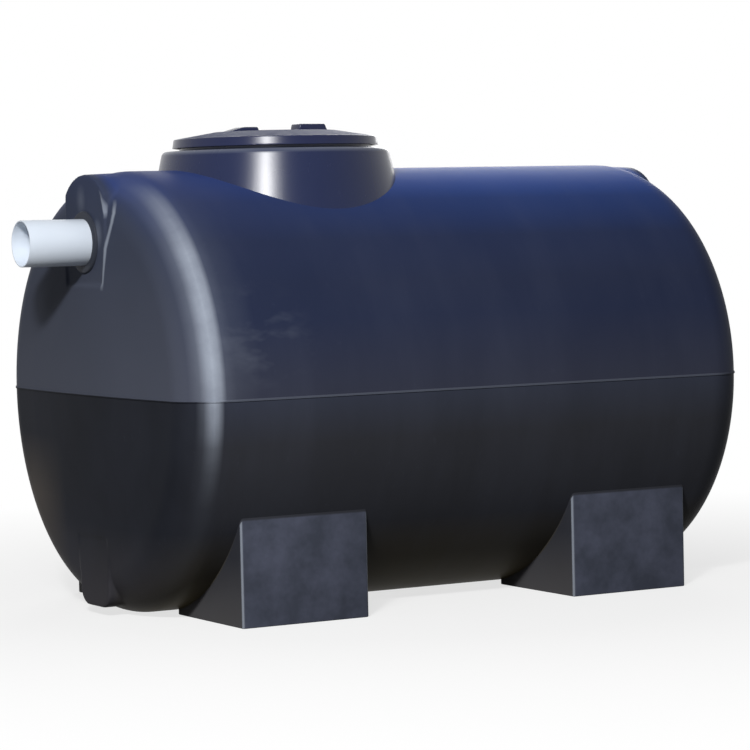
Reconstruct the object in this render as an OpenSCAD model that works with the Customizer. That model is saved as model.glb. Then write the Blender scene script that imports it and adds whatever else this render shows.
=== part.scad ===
// Horizontal septic tank. A moulded barrel with dished ends rests on four
// hollow feet, with a manhole neck and screwed lid on top and a pipe stub
// through a flat seat in each end.

/* [Barrel] */
// Outside diameter of the barrel
barrel_d = 1050; // [1000:2:1100]
// Length of the straight barrel between its two ends
barrel_l = 1328; // [1300:2:1600]
// Thickness of the moulded wall
wall = 8; // [6:0.5:10]
// Clearance between the lowest line of the barrel and the floor
floor_gap = 1; // [1:1:5]
// How far the lip of the mould's parting line stands proud
seam_proud = 2; // [1:0.5:4]
// Thickness of each half of that lip
seam_t = 2.5; // [1.5:0.5:4]

/* [Ends] */
// Radius of the knuckle between barrel and end
knuckle_r = 112; // [105:1:120]
// Radius of the shallow dish inside the knuckle
dish_r = 5000; // [4500:100:6000]

/* [Pipe seats] */
// Distance of a pipe seat's flat face behind the crown of the dish
seat_sink = 12.5; // [10:0.5:15]
// Thickness of the flat face
seat_t = 12; // [10:1:14]
// How much wider a seat's sides get over each unit of depth
seat_draft = 0.3; // [0.2:0.05:0.4]
// Distance of the seat's arched top below the top of the barrel
seat_down = 7; // [6:1:12]
// Rise of the arched top from the face to the barrel
seat_rise = 5; // [2:1:5]
// Radius of the arched top
arch_r = 143; // [130:1:160]
// Half width of the seat where the arch meets its sides
seat_half_top = 104; // [96:1:108]
// Greatest half width of the seat, at the height of the inlet pipe
seat_half_mid = 111; // [108:1:116]
// Half width of the seat at its bottom
seat_half_bottom = 97; // [90:1:106]
// Distance of the seat's bottom edge below the pipe's axis
seat_below = 102; // [98:1:106]

/* [Lower pads] */
// Distance of a lower pad's flat face behind the crown of the dish
pad_sink = 14.5; // [13:0.5:17]
// Half width of the pad's face
pad_half = 80; // [70:2:90]
// Radius of the pad's rounded lower corners
pad_corner_r = 42; // [30:2:50]
// Height of the pad's bottom edge above the floor
pad_bottom = 22; // [20:1:40]
// Height of the pad's top edge above the floor
pad_top = 190; // [180:2:200]

/* [Pipes] */
// Outside diameter of the pipes
pipe_d = 110; // [100:5:110]
// Wall thickness of the pipes
pipe_wall = 3.2; // [2.5:0.1:5]
// Distance of the inlet pipe's axis below the top of the barrel
inlet_down = 166; // [158:1:174]
// How much lower the outlet pipe lies
outlet_drop = 50; // [20:1:50]
// Length of pipe outside the flat seat
pipe_out = 163; // [120:1:260]
// Length of pipe inside the tank
pipe_in = 64; // [40:1:120]
// Width of the rubber seal's outer lip around the pipe
seal_w = 19; // [15:1:22]
// Thickness of the seal's outer lip
seal_lip = 6; // [4:1:8]
// Thickness of rubber between pipe and seat
seal_wall = 7; // [5:1:9]

/* [Feet] */
// Length of a foot along the tank
foot_l = 332; // [280:1:360]
// Distance of the middle of a foot from the nearer end of the barrel
foot_in = 212; // [190:1:240]
// Distance of the feet's outer faces inside the side of the barrel
foot_inset = 77; // [70:1:90]
// Width of a foot from its outer face towards the middle plane
foot_w = 328; // [290:2:340]
// Radius of the feet's upright outer edges
foot_edge_r = 9; // [4:1:12]
// Solid width left at the inner side of a foot's cavity
foot_web = 60; // [40:2:80]

/* [Manhole] */
// Distance of the manhole's axis from the inlet end of the barrel
manhole_in = 400; // [370:1:440]
// Clear radius of the mouth
mouth_r = 225; // [200:1:230]
// Thickness of the mouth ring
ring_t = 9; // [6:1:11]
// Height of the mouth ring above the shoulder
ring_h = 18; // [14:1:24]
// Height of the neck's shoulder above the top of the barrel
neck_h = 47; // [40:1:60]
// Width of the shoulder outside the lid
shoulder_w = 28; // [20:1:34]
// Radius of the rounded shoulder
shoulder_r = 14; // [8:1:18]
// Slope of the neck's wall, outwards for each unit down
neck_draft = 0.2; // [0.1:0.02:0.24]
// How far the neck's foot reaches outside the shoulder, inside the barrel
neck_spread = 60; // [50:2:80]

/* [Lid] */
// Clearance between the mouth ring and the lid's skirt
skirt_clear = 11; // [6:1:14]
// Thickness of the lid's skirt and top
lid_t = 6; // [4:0.5:6]
// Gap between the skirt and the shoulder
lid_gap = 8; // [5:1:10]
// Height of the lid's edge above the bottom of its skirt
lid_edge_h = 21; // [20:1:30]
// Rise of the lid's crown above its edge
crown_h = 16; // [10:1:20]
// Width of the crown's sloped rim
crown_w = 95; // [70:1:98]
// Distance of the grips' inner side from the lid's axis
grip_in = 54; // [40:1:60]
// Distance of the grips' outer foot from the lid's axis
grip_out = 136; // [120:1:146]
// Width of a grip
grip_w = 46; // [30:1:60]
// Height of the ramped grip above the crown
ramp_grip_h = 11; // [8:1:16]
// Height of the block grip above the crown
block_grip_h = 18; // [12:1:24]
// How far the ends of a grip lean in
grip_lean = 4; // [2:1:8]
// Clearance between the lid and what it rests on
rest_clear = 0.3; // [0.2:0.1:0.5]

/* [Hidden] */
$fn = 96;
INLET = -1;
OUTLET = 1;
FRONT = -1;
BACK = 1;

upper_colour = [0.17, 0.20, 0.31];
lower_colour = [0.16, 0.16, 0.18];
lid_colour = [0.24, 0.27, 0.35];
pvc_colour = [0.84, 0.89, 0.95];
rubber_colour = [0.08, 0.08, 0.09];

barrel_r = barrel_d / 2;
axis_z = barrel_r + floor_gap;
over = 1;
far = 2000;

dish_angle = asin((barrel_r - knuckle_r) / (dish_r - knuckle_r));
dish_depth = dish_r - (dish_r - knuckle_r) * cos(dish_angle);
seat_out = dish_depth - seat_sink;
pad_out = dish_depth - pad_sink;

seal_hole_r = pipe_d / 2 + seal_wall;
seal_r = pipe_d / 2 + seal_w;

foot_x = barrel_l / 2 - foot_in;
foot_y = barrel_r - foot_inset;

manhole_x = manhole_in - barrel_l / 2;
ring_r = mouth_r + ring_t;
lid_r = ring_r + skirt_clear + lid_t;
neck_r = lid_r + shoulder_w;
neck_z = axis_z + barrel_r + neck_h;
neck_low = axis_z + sqrt(pow(barrel_r, 2) - pow(neck_r + neck_spread, 2));
ring_top = neck_z + ring_h;
lid_low = neck_z + lid_gap;
lid_edge_z = lid_low + lid_edge_h;
crown_z = lid_edge_z + crown_h;
crown_flat_r = lid_r - lid_t - crown_w;

// Points of an arc from angle a to angle b.
function arc(cx, cy, r, a, b, n = 8) =
    [for (i = [0:n]) [cx + r * cos(a + (b - a) * i / n), cy + r * sin(a + (b - a) * i / n)]];

// ---- places -------------------------------------------------------------

// An end piece is drawn with +Z outwards and +X up, from the barrel's end.
module on_end(side) {
    translate([side * barrel_l / 2, 0, axis_z])
        rotate([0, side * 90, 0])
            rotate([0, 0, side > 0 ? 180 : 0])
                children();
}

module at_manhole() {
    translate([manhole_x, 0, 0]) children();
}

// Keeps what lies above or below the parting plane.
module keep_half(upper) {
    intersection() {
        children();
        translate([-far, -far, upper ? axis_z : axis_z - 2 * far]) cube(2 * far);
    }
}

// ---- barrel -------------------------------------------------------------

module x_cylinder(r, l) {
    rotate([0, 90, 0]) cylinder(r = r, h = l, center = true, $fn = 180);
}

module seam_slab(l) {
    translate([-l / 2, -barrel_r - seam_proud, axis_z - seam_t])
        cube([l, 2 * (barrel_r + seam_proud), 2 * seam_t]);
}

module barrel_half(upper) {
    keep_half(upper)
        difference() {
            union() {
                translate([0, 0, axis_z]) x_cylinder(barrel_r, barrel_l);
                seam_slab(barrel_l);
            }
            translate([0, 0, axis_z]) x_cylinder(barrel_r - wall, barrel_l + 2 * over);
        }
}

module barrel_upper() {
    color(upper_colour)
        difference() {
            barrel_half(true);
            at_manhole() neck_form(wall);
        }
}

module barrel_lower() {
    color(lower_colour)
        difference() {
            barrel_half(false);
            for (end = [INLET, OUTLET], side = [FRONT, BACK]) foot_cavity(end, side);
        }
}

// ---- ends ---------------------------------------------------------------

// Half section of an end, drawn d inside its outer skin.
module dish_section(d) {
    polygon(concat(
        [[0, 0]],
        arc(barrel_r - knuckle_r, 0, knuckle_r - d, 0, 90 - dish_angle, 16),
        [for (i = [1:8])
            let (a = dish_angle * (1 - i / 8))
                [(dish_r - d) * sin(a), (dish_r - d) * cos(a) - dish_r + dish_depth]]
    ));
}

module dish(d) {
    rotate([0, 0, 45]) rotate_extrude($fn = 180) dish_section(d);
}

module seam_rim() {
    rotate([90, 0, 90])
        linear_extrude(2 * seam_t, center = true)
            for (s = [0, 1]) mirror([s, 0]) dish_section(-seam_proud);
}

// ---- flat seats ---------------------------------------------------------

// Height of a pipe's axis above the barrel's axis.
function pipe_h(side) = barrel_r - inlet_down - (side == OUTLET ? outlet_drop : 0);

// Outline of a pipe seat: an arch on sides that bulge a little. It is drawn
// d smaller all round, and lean wider for its foot on the barrel's end.
module seat_outline(side, d, lean) {
    r = arch_r + lean - d;
    spread = lean - d;
    low = pipe_h(side) - seat_below + d;
    top = barrel_r - seat_down - d + (lean > 0 ? seat_rise : 0);
    a = asin((seat_half_top + spread) / r);
    polygon(concat(
        [[pipe_h(INLET), -seat_half_mid - spread], [low, -seat_half_bottom - spread]],
        [[low, seat_half_bottom + spread], [pipe_h(INLET), seat_half_mid + spread]],
        arc(top - r, 0, r, a, -a, 12)
    ));
}

// Outline of a lower pad, with rounded lower corners.
module pad_outline(d, lean) {
    r = pad_corner_r - d;
    low = pad_bottom - axis_z + d;
    half = pad_half + lean - d;
    hull() {
        for (s = [-1, 1]) translate([low + r, s * (half - r)]) circle(r, $fn = 32);
        translate([pad_top - axis_z - d - 1, -half]) square([1, 2 * half]);
    }
}

// A block from the end of the barrel out to a flat face, between an outline
// at its foot and one at its face. It stands rise beyond the face, to cut the
// recess where the dish is proud of it.
module leaning_block(face, rise) {
    hull() {
        translate([0, 0, face - 1]) linear_extrude(1 + rise) children(0);
        translate([0, 0, -over]) linear_extrude(over) children(1);
    }
}

module upper_form(side, d, rise = 0) {
    leaning_block(seat_out - (d > 0 ? seat_t : 0), rise) {
        seat_outline(side, d, 0);
        seat_outline(side, d, seat_out * seat_draft);
    }
}

module lower_form(d, rise = 0) {
    leaning_block(pad_out - (d > 0 ? wall : 0), rise) {
        pad_outline(d, 0);
        pad_outline(d, pad_out * seat_draft);
    }
}

// What the tank holds, up to depth h from the end of the barrel.
module inside_to(h) {
    intersection() {
        dish(wall);
        translate([0, 0, -over]) cylinder(r = barrel_r, h = h + over);
    }
}

module seat(side) {
    color(upper_colour)
        difference() {
            on_end(side) difference() {
                upper_form(side, 0);
                upper_form(side, wall);
                inside_to(seat_out - seat_t);
                translate([0, 0, -2 * over]) cylinder(r = barrel_r, h = 2 * over);
            }
            pipe_span(side, seal_hole_r, over, seat_t + over);
        }
}

module pad() {
    color(lower_colour)
        difference() {
            lower_form(0);
            lower_form(wall);
            inside_to(pad_out - wall);
            translate([0, 0, -2 * over]) cylinder(r = barrel_r, h = 2 * over);
        }
}

module inlet_seat() seat(INLET);
module outlet_seat() seat(OUTLET);
module inlet_pad() on_end(INLET) pad();
module outlet_pad() on_end(OUTLET) pad();

// ---- end shells ---------------------------------------------------------

module end_half(side, upper) {
    color(upper ? upper_colour : lower_colour)
        keep_half(upper)
            on_end(side)
                difference() {
                    union() {
                        dish(0);
                        seam_rim();
                    }
                    dish(wall);
                    translate([0, 0, -over]) cylinder(r = barrel_r - wall, h = 2 * over, $fn = 180);
                    if (upper) upper_form(side, 0, dish_depth);
                    else lower_form(0, dish_depth);
                }
}

module inlet_end_upper() end_half(INLET, true);
module inlet_end_lower() end_half(INLET, false);
module outlet_end_upper() end_half(OUTLET, true);
module outlet_end_lower() end_half(OUTLET, false);

// ---- pipes and seals ----------------------------------------------------

// A cylinder on a pipe's axis, from out beyond the flat seat's face to in.
module pipe_span(side, r, out, in) {
    translate([side * (barrel_l / 2 + seat_out + (out - in) / 2), 0, axis_z + pipe_h(side)])
        rotate([0, 90, 0])
            cylinder(r = r, h = out + in, center = true);
}

module pipe(side) {
    color(pvc_colour)
        difference() {
            pipe_span(side, pipe_d / 2, pipe_out, seat_t + pipe_in);
            pipe_span(side, pipe_d / 2 - pipe_wall, pipe_out + over, seat_t + pipe_in + over);
        }
}

module seal(side) {
    color(rubber_colour)
        difference() {
            union() {
                pipe_span(side, seal_hole_r, 0, seat_t);
                pipe_span(side, seal_r, seal_lip, 0);
                pipe_span(side, seal_hole_r + seal_wall, -seat_t, seat_t + seal_lip);
            }
            pipe_span(side, pipe_d / 2, seal_lip + over, seat_t + seal_lip + over);
        }
}

module inlet_pipe() pipe(INLET);
module outlet_pipe() pipe(OUTLET);
module inlet_seal() seal(INLET);
module outlet_seal() seal(OUTLET);

// ---- feet ---------------------------------------------------------------

// Block of a foot, d inside its outer faces, from inner_y outwards.
module foot_block(end, side, d, inner_y) {
    r = max(foot_edge_r - d, 1);
    half = foot_l / 2 - d;
    translate([end * foot_x, 0, d])
        linear_extrude(axis_z / 2)
            union() {
                translate([-half, side > 0 ? inner_y : -(foot_y - d - r)])
                    square([2 * half, foot_y - d - r - inner_y]);
                translate([-(half - r), side > 0 ? inner_y : -(foot_y - d)])
                    square([2 * (half - r), foot_y - d - inner_y]);
                for (s = [-1, 1])
                    translate([s * (half - r), side * (foot_y - d - r)]) circle(r, $fn = 48);
            }
}

module foot_cavity(end, side) {
    foot_block(end, side, wall, foot_y - foot_w + foot_web);
}

module foot(end, side) {
    color(lower_colour)
        difference() {
            foot_block(end, side, 0, foot_y - foot_w);
            foot_cavity(end, side);
            translate([0, 0, axis_z]) x_cylinder(barrel_r, barrel_l);
        }
}

module foot_inlet_front() foot(INLET, FRONT);
module foot_inlet_back() foot(INLET, BACK);
module foot_outlet_front() foot(OUTLET, FRONT);
module foot_outlet_back() foot(OUTLET, BACK);

// ---- manhole ------------------------------------------------------------

// The neck's form, d inside its outer skin, up to its rounded shoulder.
module neck_form(d) {
    low_r = neck_r + neck_draft * (neck_z - neck_low);
    r = shoulder_r - d;
    rotate_extrude($fn = 144)
        polygon(concat(
            [[0, neck_low], [low_r - d, neck_low]],
            arc(neck_r - shoulder_r, neck_z - shoulder_r, r, 0, 90, 6),
            [[0, neck_z - d]]
        ));
}

module manhole_neck() {
    color(upper_colour)
        at_manhole() difference() {
            neck_form(0);
            neck_form(wall);
            translate([0, 0, neck_low]) cylinder(r = mouth_r, h = axis_z, $fn = 144);
            translate([-manhole_x, 0, axis_z]) x_cylinder(barrel_r, barrel_l);
        }
}

module manhole_ring() {
    color(upper_colour) at_manhole() tube(ring_r, mouth_r, neck_z, ring_top);
}

module tube(outer, inner, low, high) {
    translate([0, 0, low])
        difference() {
            cylinder(r = outer, h = high - low, $fn = 144);
            translate([0, 0, -over]) cylinder(r = inner, h = high - low + 2 * over, $fn = 144);
        }
}

// ---- lid ----------------------------------------------------------------

module lid_top() {
    color(lid_colour)
        at_manhole() rotate_extrude($fn = 144)
            polygon([
                [0, crown_z - lid_t], [crown_flat_r, crown_z - lid_t],
                [mouth_r - lid_t, lid_edge_z - lid_t], [lid_r - lid_t, lid_edge_z - lid_t],
                [lid_r - lid_t, lid_edge_z], [crown_flat_r, crown_z], [0, crown_z]
            ]);
}

module lid_skirt() {
    color(lid_colour)
        at_manhole() tube(lid_r, lid_r - lid_t, lid_low, lid_edge_z);
}

// A ring of rubber under the lid, which rests on the mouth ring.
module lid_seal() {
    low = ring_top + rest_clear;
    color(rubber_colour)
        at_manhole() tube(ring_r, mouth_r, low, lid_edge_z - lid_t);
}

// A grip across the crown, with a sloped outer end of length slope.
module grip(side, h, slope) {
    color(lid_colour)
        at_manhole() rotate([90, 0, 0])
            linear_extrude(grip_w, center = true)
                polygon([
                    for (p = [[grip_in, 0], [grip_out, 0], [grip_out - slope, h], [grip_in + grip_lean, h]])
                        [side * p[0], crown_z + p[1]]
                ]);
}

module lid_grip_inlet() grip(INLET, ramp_grip_h, (grip_out - grip_in) / 2);
module lid_grip_outlet() grip(OUTLET, block_grip_h, 2 * grip_lean);

barrel_upper();
barrel_lower();
inlet_end_upper();
inlet_end_lower();
outlet_end_upper();
outlet_end_lower();
inlet_seat();
outlet_seat();
inlet_pad();
outlet_pad();
foot_inlet_front();
foot_inlet_back();
foot_outlet_front();
foot_outlet_back();
manhole_neck();
manhole_ring();
lid_top();
lid_skirt();
lid_seal();
lid_grip_inlet();
lid_grip_outlet();
inlet_pipe();
outlet_pipe();
inlet_seal();
outlet_seal();
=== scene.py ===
import math

import bmesh
import bpy
from mathutils import Matrix, Vector


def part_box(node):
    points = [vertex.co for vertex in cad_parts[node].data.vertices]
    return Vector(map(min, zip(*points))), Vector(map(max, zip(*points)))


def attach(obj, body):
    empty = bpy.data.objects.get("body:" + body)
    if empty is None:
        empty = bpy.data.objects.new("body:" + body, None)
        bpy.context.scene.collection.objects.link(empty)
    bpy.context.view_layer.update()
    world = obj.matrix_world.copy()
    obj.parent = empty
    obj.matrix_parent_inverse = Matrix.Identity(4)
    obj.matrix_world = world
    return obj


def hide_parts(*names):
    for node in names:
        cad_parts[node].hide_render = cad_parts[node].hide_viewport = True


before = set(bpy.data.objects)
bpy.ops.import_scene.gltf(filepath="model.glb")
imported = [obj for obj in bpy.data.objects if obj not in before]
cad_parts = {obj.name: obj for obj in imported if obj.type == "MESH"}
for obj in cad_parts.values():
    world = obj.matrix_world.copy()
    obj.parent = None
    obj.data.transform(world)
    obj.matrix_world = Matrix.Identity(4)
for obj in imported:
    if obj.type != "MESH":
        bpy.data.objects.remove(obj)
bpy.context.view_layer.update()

# ---- sizes, in metres ----------------------------------------------------

# The barrel: a wall of moulded plastic round a level axis.
BARREL_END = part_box("barrel_upper")[1].x
TOP_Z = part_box("barrel_upper")[1].z
LOW_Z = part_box("barrel_lower")[0].z
AXIS_Z = (TOP_Z + LOW_Z) / 2
BARREL_R = (TOP_Z - LOW_Z) / 2
WALL = 0.008
# The lip of the parting line: how far it stands proud, and its height on each half.
LIP_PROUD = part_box("barrel_upper")[1].y - BARREL_R
LIP_H = 0.0025
# Where the barrel's own skin stops and an end's begins, on the plain cylinder.
SPLIT_X = BARREL_END - 0.022

# The ends: a knuckle round a shallow dish.
KNUCKLE_R = 0.112
DISH_R = 5.0

# The flat seats of the pipes: an arched top, half widths from top to bottom, drafted sides.
SEAT_X = abs(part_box("inlet_seat")[0].x)
SEAT_TOP = TOP_Z - 0.007
SEAT_DRAFT = 0.3
SEAT_RISE = 0.005
ARCH_R = 0.143
HALF_TOP = 0.104
HALF_MID = 0.111
HALF_LOW = 0.097
BELOW_PIPE = 0.102
SEAL_HOLE_R = 0.062

# The lower pads.
PAD_X = abs(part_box("inlet_pad")[0].x)
PAD_HALF = 0.080
PAD_LOW = 0.022
PAD_TOP = 0.190
PAD_CORNER = 0.042

# Two places closer than this count as one: for exact edges, and for faces on a plane.
TOUCHING = 1e-5
NEARLY = 1e-4


def middle(node):
    """The middle of a node's box."""
    low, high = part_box(node)
    return (low + high) / 2


MANHOLE = middle("manhole_ring")
PIPE_Z = {-1: middle("inlet_pipe").z, 1: middle("outlet_pipe").z}
SIDE_NAME = {-1: "inlet", 1: "outlet"}
ROW_NAME = {-1: "front", 1: "back"}


# ---- modelling by hand ---------------------------------------------------

def begin():
    """Leaves edit mode with nothing selected."""
    if bpy.context.object and bpy.context.object.mode != "OBJECT":
        bpy.ops.object.mode_set(mode="OBJECT")
    bpy.ops.object.select_all(action="DESELECT")


def named(name):
    """Names the new primitive, and puts its place into its mesh."""
    piece = bpy.context.object
    piece.name = piece.data.name = name
    bpy.ops.object.transform_apply(location=True, rotation=True, scale=True)
    return piece


def only(piece):
    """Selects one piece and nothing else."""
    begin()
    piece.select_set(True)
    bpy.context.view_layer.objects.active = piece


def edit(piece):
    """Opens a piece for editing with nothing in it selected."""
    only(piece)
    bpy.ops.object.mode_set(mode="EDIT")
    bpy.ops.mesh.select_all(action="DESELECT")


def done():
    """Leaves edit mode."""
    bpy.ops.object.mode_set(mode="OBJECT")


def pick_faces(piece, test):
    """Selects the faces that pass a test on their middle and normal."""
    mesh = bmesh.from_edit_mesh(piece.data)
    bpy.context.tool_settings.mesh_select_mode = (False, False, True)
    for face in mesh.faces:
        face.select = bool(test(face.calc_center_median(), face.normal))
    mesh.select_flush_mode()
    bmesh.update_edit_mesh(piece.data)


def pick_edges(piece, test, rims_alone=False):
    """Selects the edges whose two ends pass a test, or of those the open rims alone."""
    mesh = bmesh.from_edit_mesh(piece.data)
    bpy.context.tool_settings.mesh_select_mode = (False, True, False)
    for one in mesh.edges:
        ends = (end.co for end in one.verts)
        one.select = bool(test(*ends)) and (one.is_boundary or not rims_alone)
    mesh.select_flush_mode()
    bmesh.update_edit_mesh(piece.data)


def push(move, about, grow):
    """Extrudes the selected faces or edges, moves them and scales them about a point."""
    bpy.ops.mesh.extrude_region_move(TRANSFORM_OT_translate={"value": move})
    bpy.ops.transform.resize(value=grow, center_override=about)


def bisect(piece, at, normal, keep_below=False, keep_above=False):
    """Cuts a piece along a plane, and keeps both sides or one."""
    edit(piece)
    bpy.ops.mesh.select_all(action="SELECT")
    bpy.ops.mesh.bisect(plane_co=at, plane_no=normal,
                        clear_inner=keep_above, clear_outer=keep_below)
    done()


def finish_with(piece, kind, **settings):
    """Adds a modifier and applies it."""
    only(piece)
    modifier = piece.modifiers.new(kind.title(), kind)
    for name, value in settings.items():
        setattr(modifier, name, value)
    bpy.ops.object.modifier_apply(modifier=modifier.name)


def combine(piece, tool, operation):
    """Adds a tool to a piece or cuts it away, and throws the tool away."""
    finish_with(piece, "BOOLEAN", operation=operation, object=tool, solver="EXACT")
    bpy.data.meshes.remove(tool.data)


def join(piece, *others):
    """Makes the others part of a piece."""
    only(piece)
    for other in others:
        other.select_set(True)
    bpy.ops.object.join()


def copy_of(piece, name):
    """A copy of a piece with a mesh of its own."""
    twin = piece.copy()
    twin.data = piece.data.copy()
    twin.name = twin.data.name = name
    bpy.context.collection.objects.link(twin)
    return twin


def smooth(piece, degrees):
    """Shades a piece smooth, but for edges sharper than an angle."""
    only(piece)
    bpy.ops.object.shade_smooth_by_angle(angle=math.radians(degrees))


def outward(piece):
    """Merges doubles and turns all faces outwards."""
    edit(piece)
    bpy.ops.mesh.select_all(action="SELECT")
    bpy.ops.mesh.remove_doubles(threshold=TOUCHING)
    bpy.ops.mesh.normals_make_consistent(inside=False)
    done()


def belongs(piece, body, slot, *nodes):
    """Says which body carries a piece, and hides the nodes it stands for; the slot is not used."""
    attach(piece, body)
    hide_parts(*nodes)
    return piece


# ---- the ends ------------------------------------------------------------

KNUCKLE_STEPS = 18
# How far the blocks that cut the flat faces reach, and how far a seat is rooted in the barrel.
CUT_REACH = 0.03
SEAT_ROOT = 0.02
# The grid on which dish, seat and pad are blended, and how strongly the blend is smoothed.
BLEND_GRID = 0.004
BLEND_ROUNDS = 4


def dish_rings():
    """Distance from the barrel's end and radius, from the barrel to the crown."""
    lean = math.asin((BARREL_R - KNUCKLE_R) / (DISH_R - KNUCKLE_R))
    depth = DISH_R - (DISH_R - KNUCKLE_R) * math.cos(lean)
    for i in range(1, KNUCKLE_STEPS + 1):
        angle = (math.pi / 2 - lean) * i / KNUCKLE_STEPS
        yield KNUCKLE_R * math.sin(angle), BARREL_R - KNUCKLE_R + KNUCKLE_R * math.cos(angle)
    for part in (0.75, 0.5, 0.25, 0.05):
        angle = lean * part
        yield DISH_R * math.cos(angle) - DISH_R + depth, DISH_R * math.sin(angle)


def dished_drum(side, name):
    """A short drum with a dished end, pushed out ring by ring."""
    stub = 0.09
    begin()
    bpy.ops.mesh.primitive_cylinder_add(
        vertices=240, radius=BARREL_R, depth=stub, rotation=(0, math.pi / 2, 0),
        location=(side * (BARREL_END - stub / 2), 0, AXIS_Z))
    drum = named(name)
    edit(drum)
    pick_faces(drum, lambda at, normal: normal.x * side > 0.9)
    out, radius = 0, BARREL_R
    for next_out, next_radius in dish_rings():
        grow = next_radius / radius
        push((side * (next_out - out), 0, 0),
             (side * (BARREL_END + next_out), 0, AXIS_Z), (1, grow, grow))
        out, radius = next_out, next_radius
    done()
    return drum


def seat_block(side, name, near, far, lean):
    """The seat's arched outline pushed on from one distance to another, widening by its lean."""
    low_z = PIPE_Z[side] - BELOW_PIPE
    arch_z = SEAT_TOP - ARCH_R
    cut_z = arch_z + math.sqrt(ARCH_R ** 2 - HALF_TOP ** 2)
    begin()
    bpy.ops.mesh.primitive_circle_add(
        vertices=96, radius=ARCH_R, fill_type="NGON", rotation=(0, math.pi / 2, 0),
        location=(side * near, 0, arch_z))
    block = named(name)
    bisect(block, (0, 0, cut_z), (0, 0, 1), keep_above=True)
    edit(block)
    pick_edges(block, lambda a, b: abs(a.z - cut_z) < TOUCHING and abs(b.z - cut_z) < TOUCHING)
    half, z = HALF_TOP, cut_z
    for next_half, next_z in ((HALF_MID, PIPE_Z[-1]), (HALF_LOW, low_z)):
        push((0, 0, next_z - z), (side * near, 0, next_z), (1, next_half / half, 1))
        half, z = next_half, next_z
    bpy.ops.mesh.select_all(action="SELECT")
    rise = 1 + (SEAT_RISE if lean else 0) / (SEAT_TOP - low_z)
    push((side * (far - near), 0, 0), (side * far, 0, low_z),
         (1, (HALF_MID + lean) / HALF_MID, rise))
    done()
    outward(block)
    return block


def pad_block(side, name, near, far, lean):
    """The lower pad between two distances, with rounded lower corners."""
    begin()
    bpy.ops.mesh.primitive_cube_add(
        size=1, location=(side * (near + far) / 2, 0, (PAD_LOW + PAD_TOP) / 2),
        scale=(abs(far - near), 2 * PAD_HALF, PAD_TOP - PAD_LOW))
    block = named(name)
    edit(block)
    pick_edges(block, lambda a, b: abs(a.y - b.y) < TOUCHING and abs(a.z - b.z) < TOUCHING and
               a.z < PAD_LOW + NEARLY)
    bpy.ops.mesh.bevel(offset=PAD_CORNER, segments=8)
    if lean:
        pick_faces(block, lambda at, normal: normal.x * side * (far - near) > 0.9)
        bpy.ops.transform.resize(value=(1, (PAD_HALF + lean) / PAD_HALF, 1),
                                 center_override=(side * far, 0, PAD_LOW))
    done()
    outward(block)
    return block


def raise_lip(piece, up):
    """Raises the thin lip of the mould's parting line along a half's outer edge."""
    centre = Vector((0, 0, AXIS_Z))
    bisect(piece, (0, 0, AXIS_Z + up * LIP_H), (0, 0, 1))
    edit(piece)
    pick_faces(piece, lambda at, normal: abs(at.z - AXIS_Z) < LIP_H and abs(normal.z) < 0.5 and
               normal.dot(at - centre) > 0 and abs(abs(at.x) - SPLIT_X) > NEARLY)
    bpy.ops.mesh.extrude_region_shrink_fatten(
        TRANSFORM_OT_shrink_fatten={"value": LIP_PROUD})
    done()


def walled(piece, up, degrees):
    """Gives a half its wall of even thickness, and its lip."""
    finish_with(piece, "SOLIDIFY", thickness=WALL, offset=-1, use_even_offset=True)
    raise_lip(piece, up)
    smooth(piece, degrees)


def half_of(whole, name, up):
    """One half of a moulding, open at the parting plane."""
    half = copy_of(whole, name)
    bisect(half, (0, 0, AXIS_Z), (0, 0, 1), keep_above=up > 0, keep_below=up < 0)
    return half


def end_skins(side):
    """The upper and lower half of one end, as moulded skins of even thickness."""
    tag = SIDE_NAME[side]
    root = BARREL_END - SEAT_ROOT
    drum = dished_drum(side, tag + "_end")
    combine(drum, seat_block(side, "seat_cut", SEAT_X + CUT_REACH, SEAT_X, 0), "DIFFERENCE")
    combine(drum, pad_block(side, "pad_cut", PAD_X + CUT_REACH, PAD_X, 0), "DIFFERENCE")
    join(drum,
         seat_block(side, "seat_form", SEAT_X, root, (SEAT_X - root) * SEAT_DRAFT),
         pad_block(side, "pad_form", PAD_X, BARREL_END, (SEAT_X - BARREL_END) * SEAT_DRAFT))
    finish_with(drum, "REMESH", mode="VOXEL", voxel_size=BLEND_GRID, adaptivity=0)
    finish_with(drum, "SMOOTH", factor=0.5, iterations=BLEND_ROUNDS)
    begin()
    bpy.ops.mesh.primitive_cylinder_add(
        vertices=96, radius=SEAL_HOLE_R, depth=0.1, rotation=(0, math.pi / 2, 0),
        location=(side * SEAT_X, 0, PIPE_Z[side]))
    combine(drum, named("pipe_hole"), "DIFFERENCE")
    # The cut leaves a cup in the solid drum, and its floor and wall go.
    edit(drum)
    pick_faces(drum, lambda at, normal: side * at.x < SEAT_X - WALL / 2 and
               math.hypot(at.y, at.z - PIPE_Z[side]) < SEAL_HOLE_R + 2 * NEARLY)
    bpy.ops.mesh.delete(type="FACE")
    done()
    bisect(drum, (side * SPLIT_X, 0, 0), (side, 0, 0), keep_above=True)
    halves = []
    for up, word in ((1, "upper"), (-1, "lower")):
        half = half_of(drum, f"{tag}_end_{word}_skin", up)
        walled(half, up, 35)
        halves.append(half)
    bpy.data.meshes.remove(drum.data)
    belongs(halves[0], "tank", "tank_upper", f"{tag}_end_upper", f"{tag}_seat")
    belongs(halves[1], "tank", "tank_lower", f"{tag}_end_lower", f"{tag}_pad")
    return halves


# ---- the barrel ----------------------------------------------------------

LID_R = (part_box("lid_skirt")[1].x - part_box("lid_skirt")[0].x) / 2
SHOULDER_W = 0.028
NECK_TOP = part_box("manhole_neck")[1].z
NECK_R = LID_R + SHOULDER_W
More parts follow.
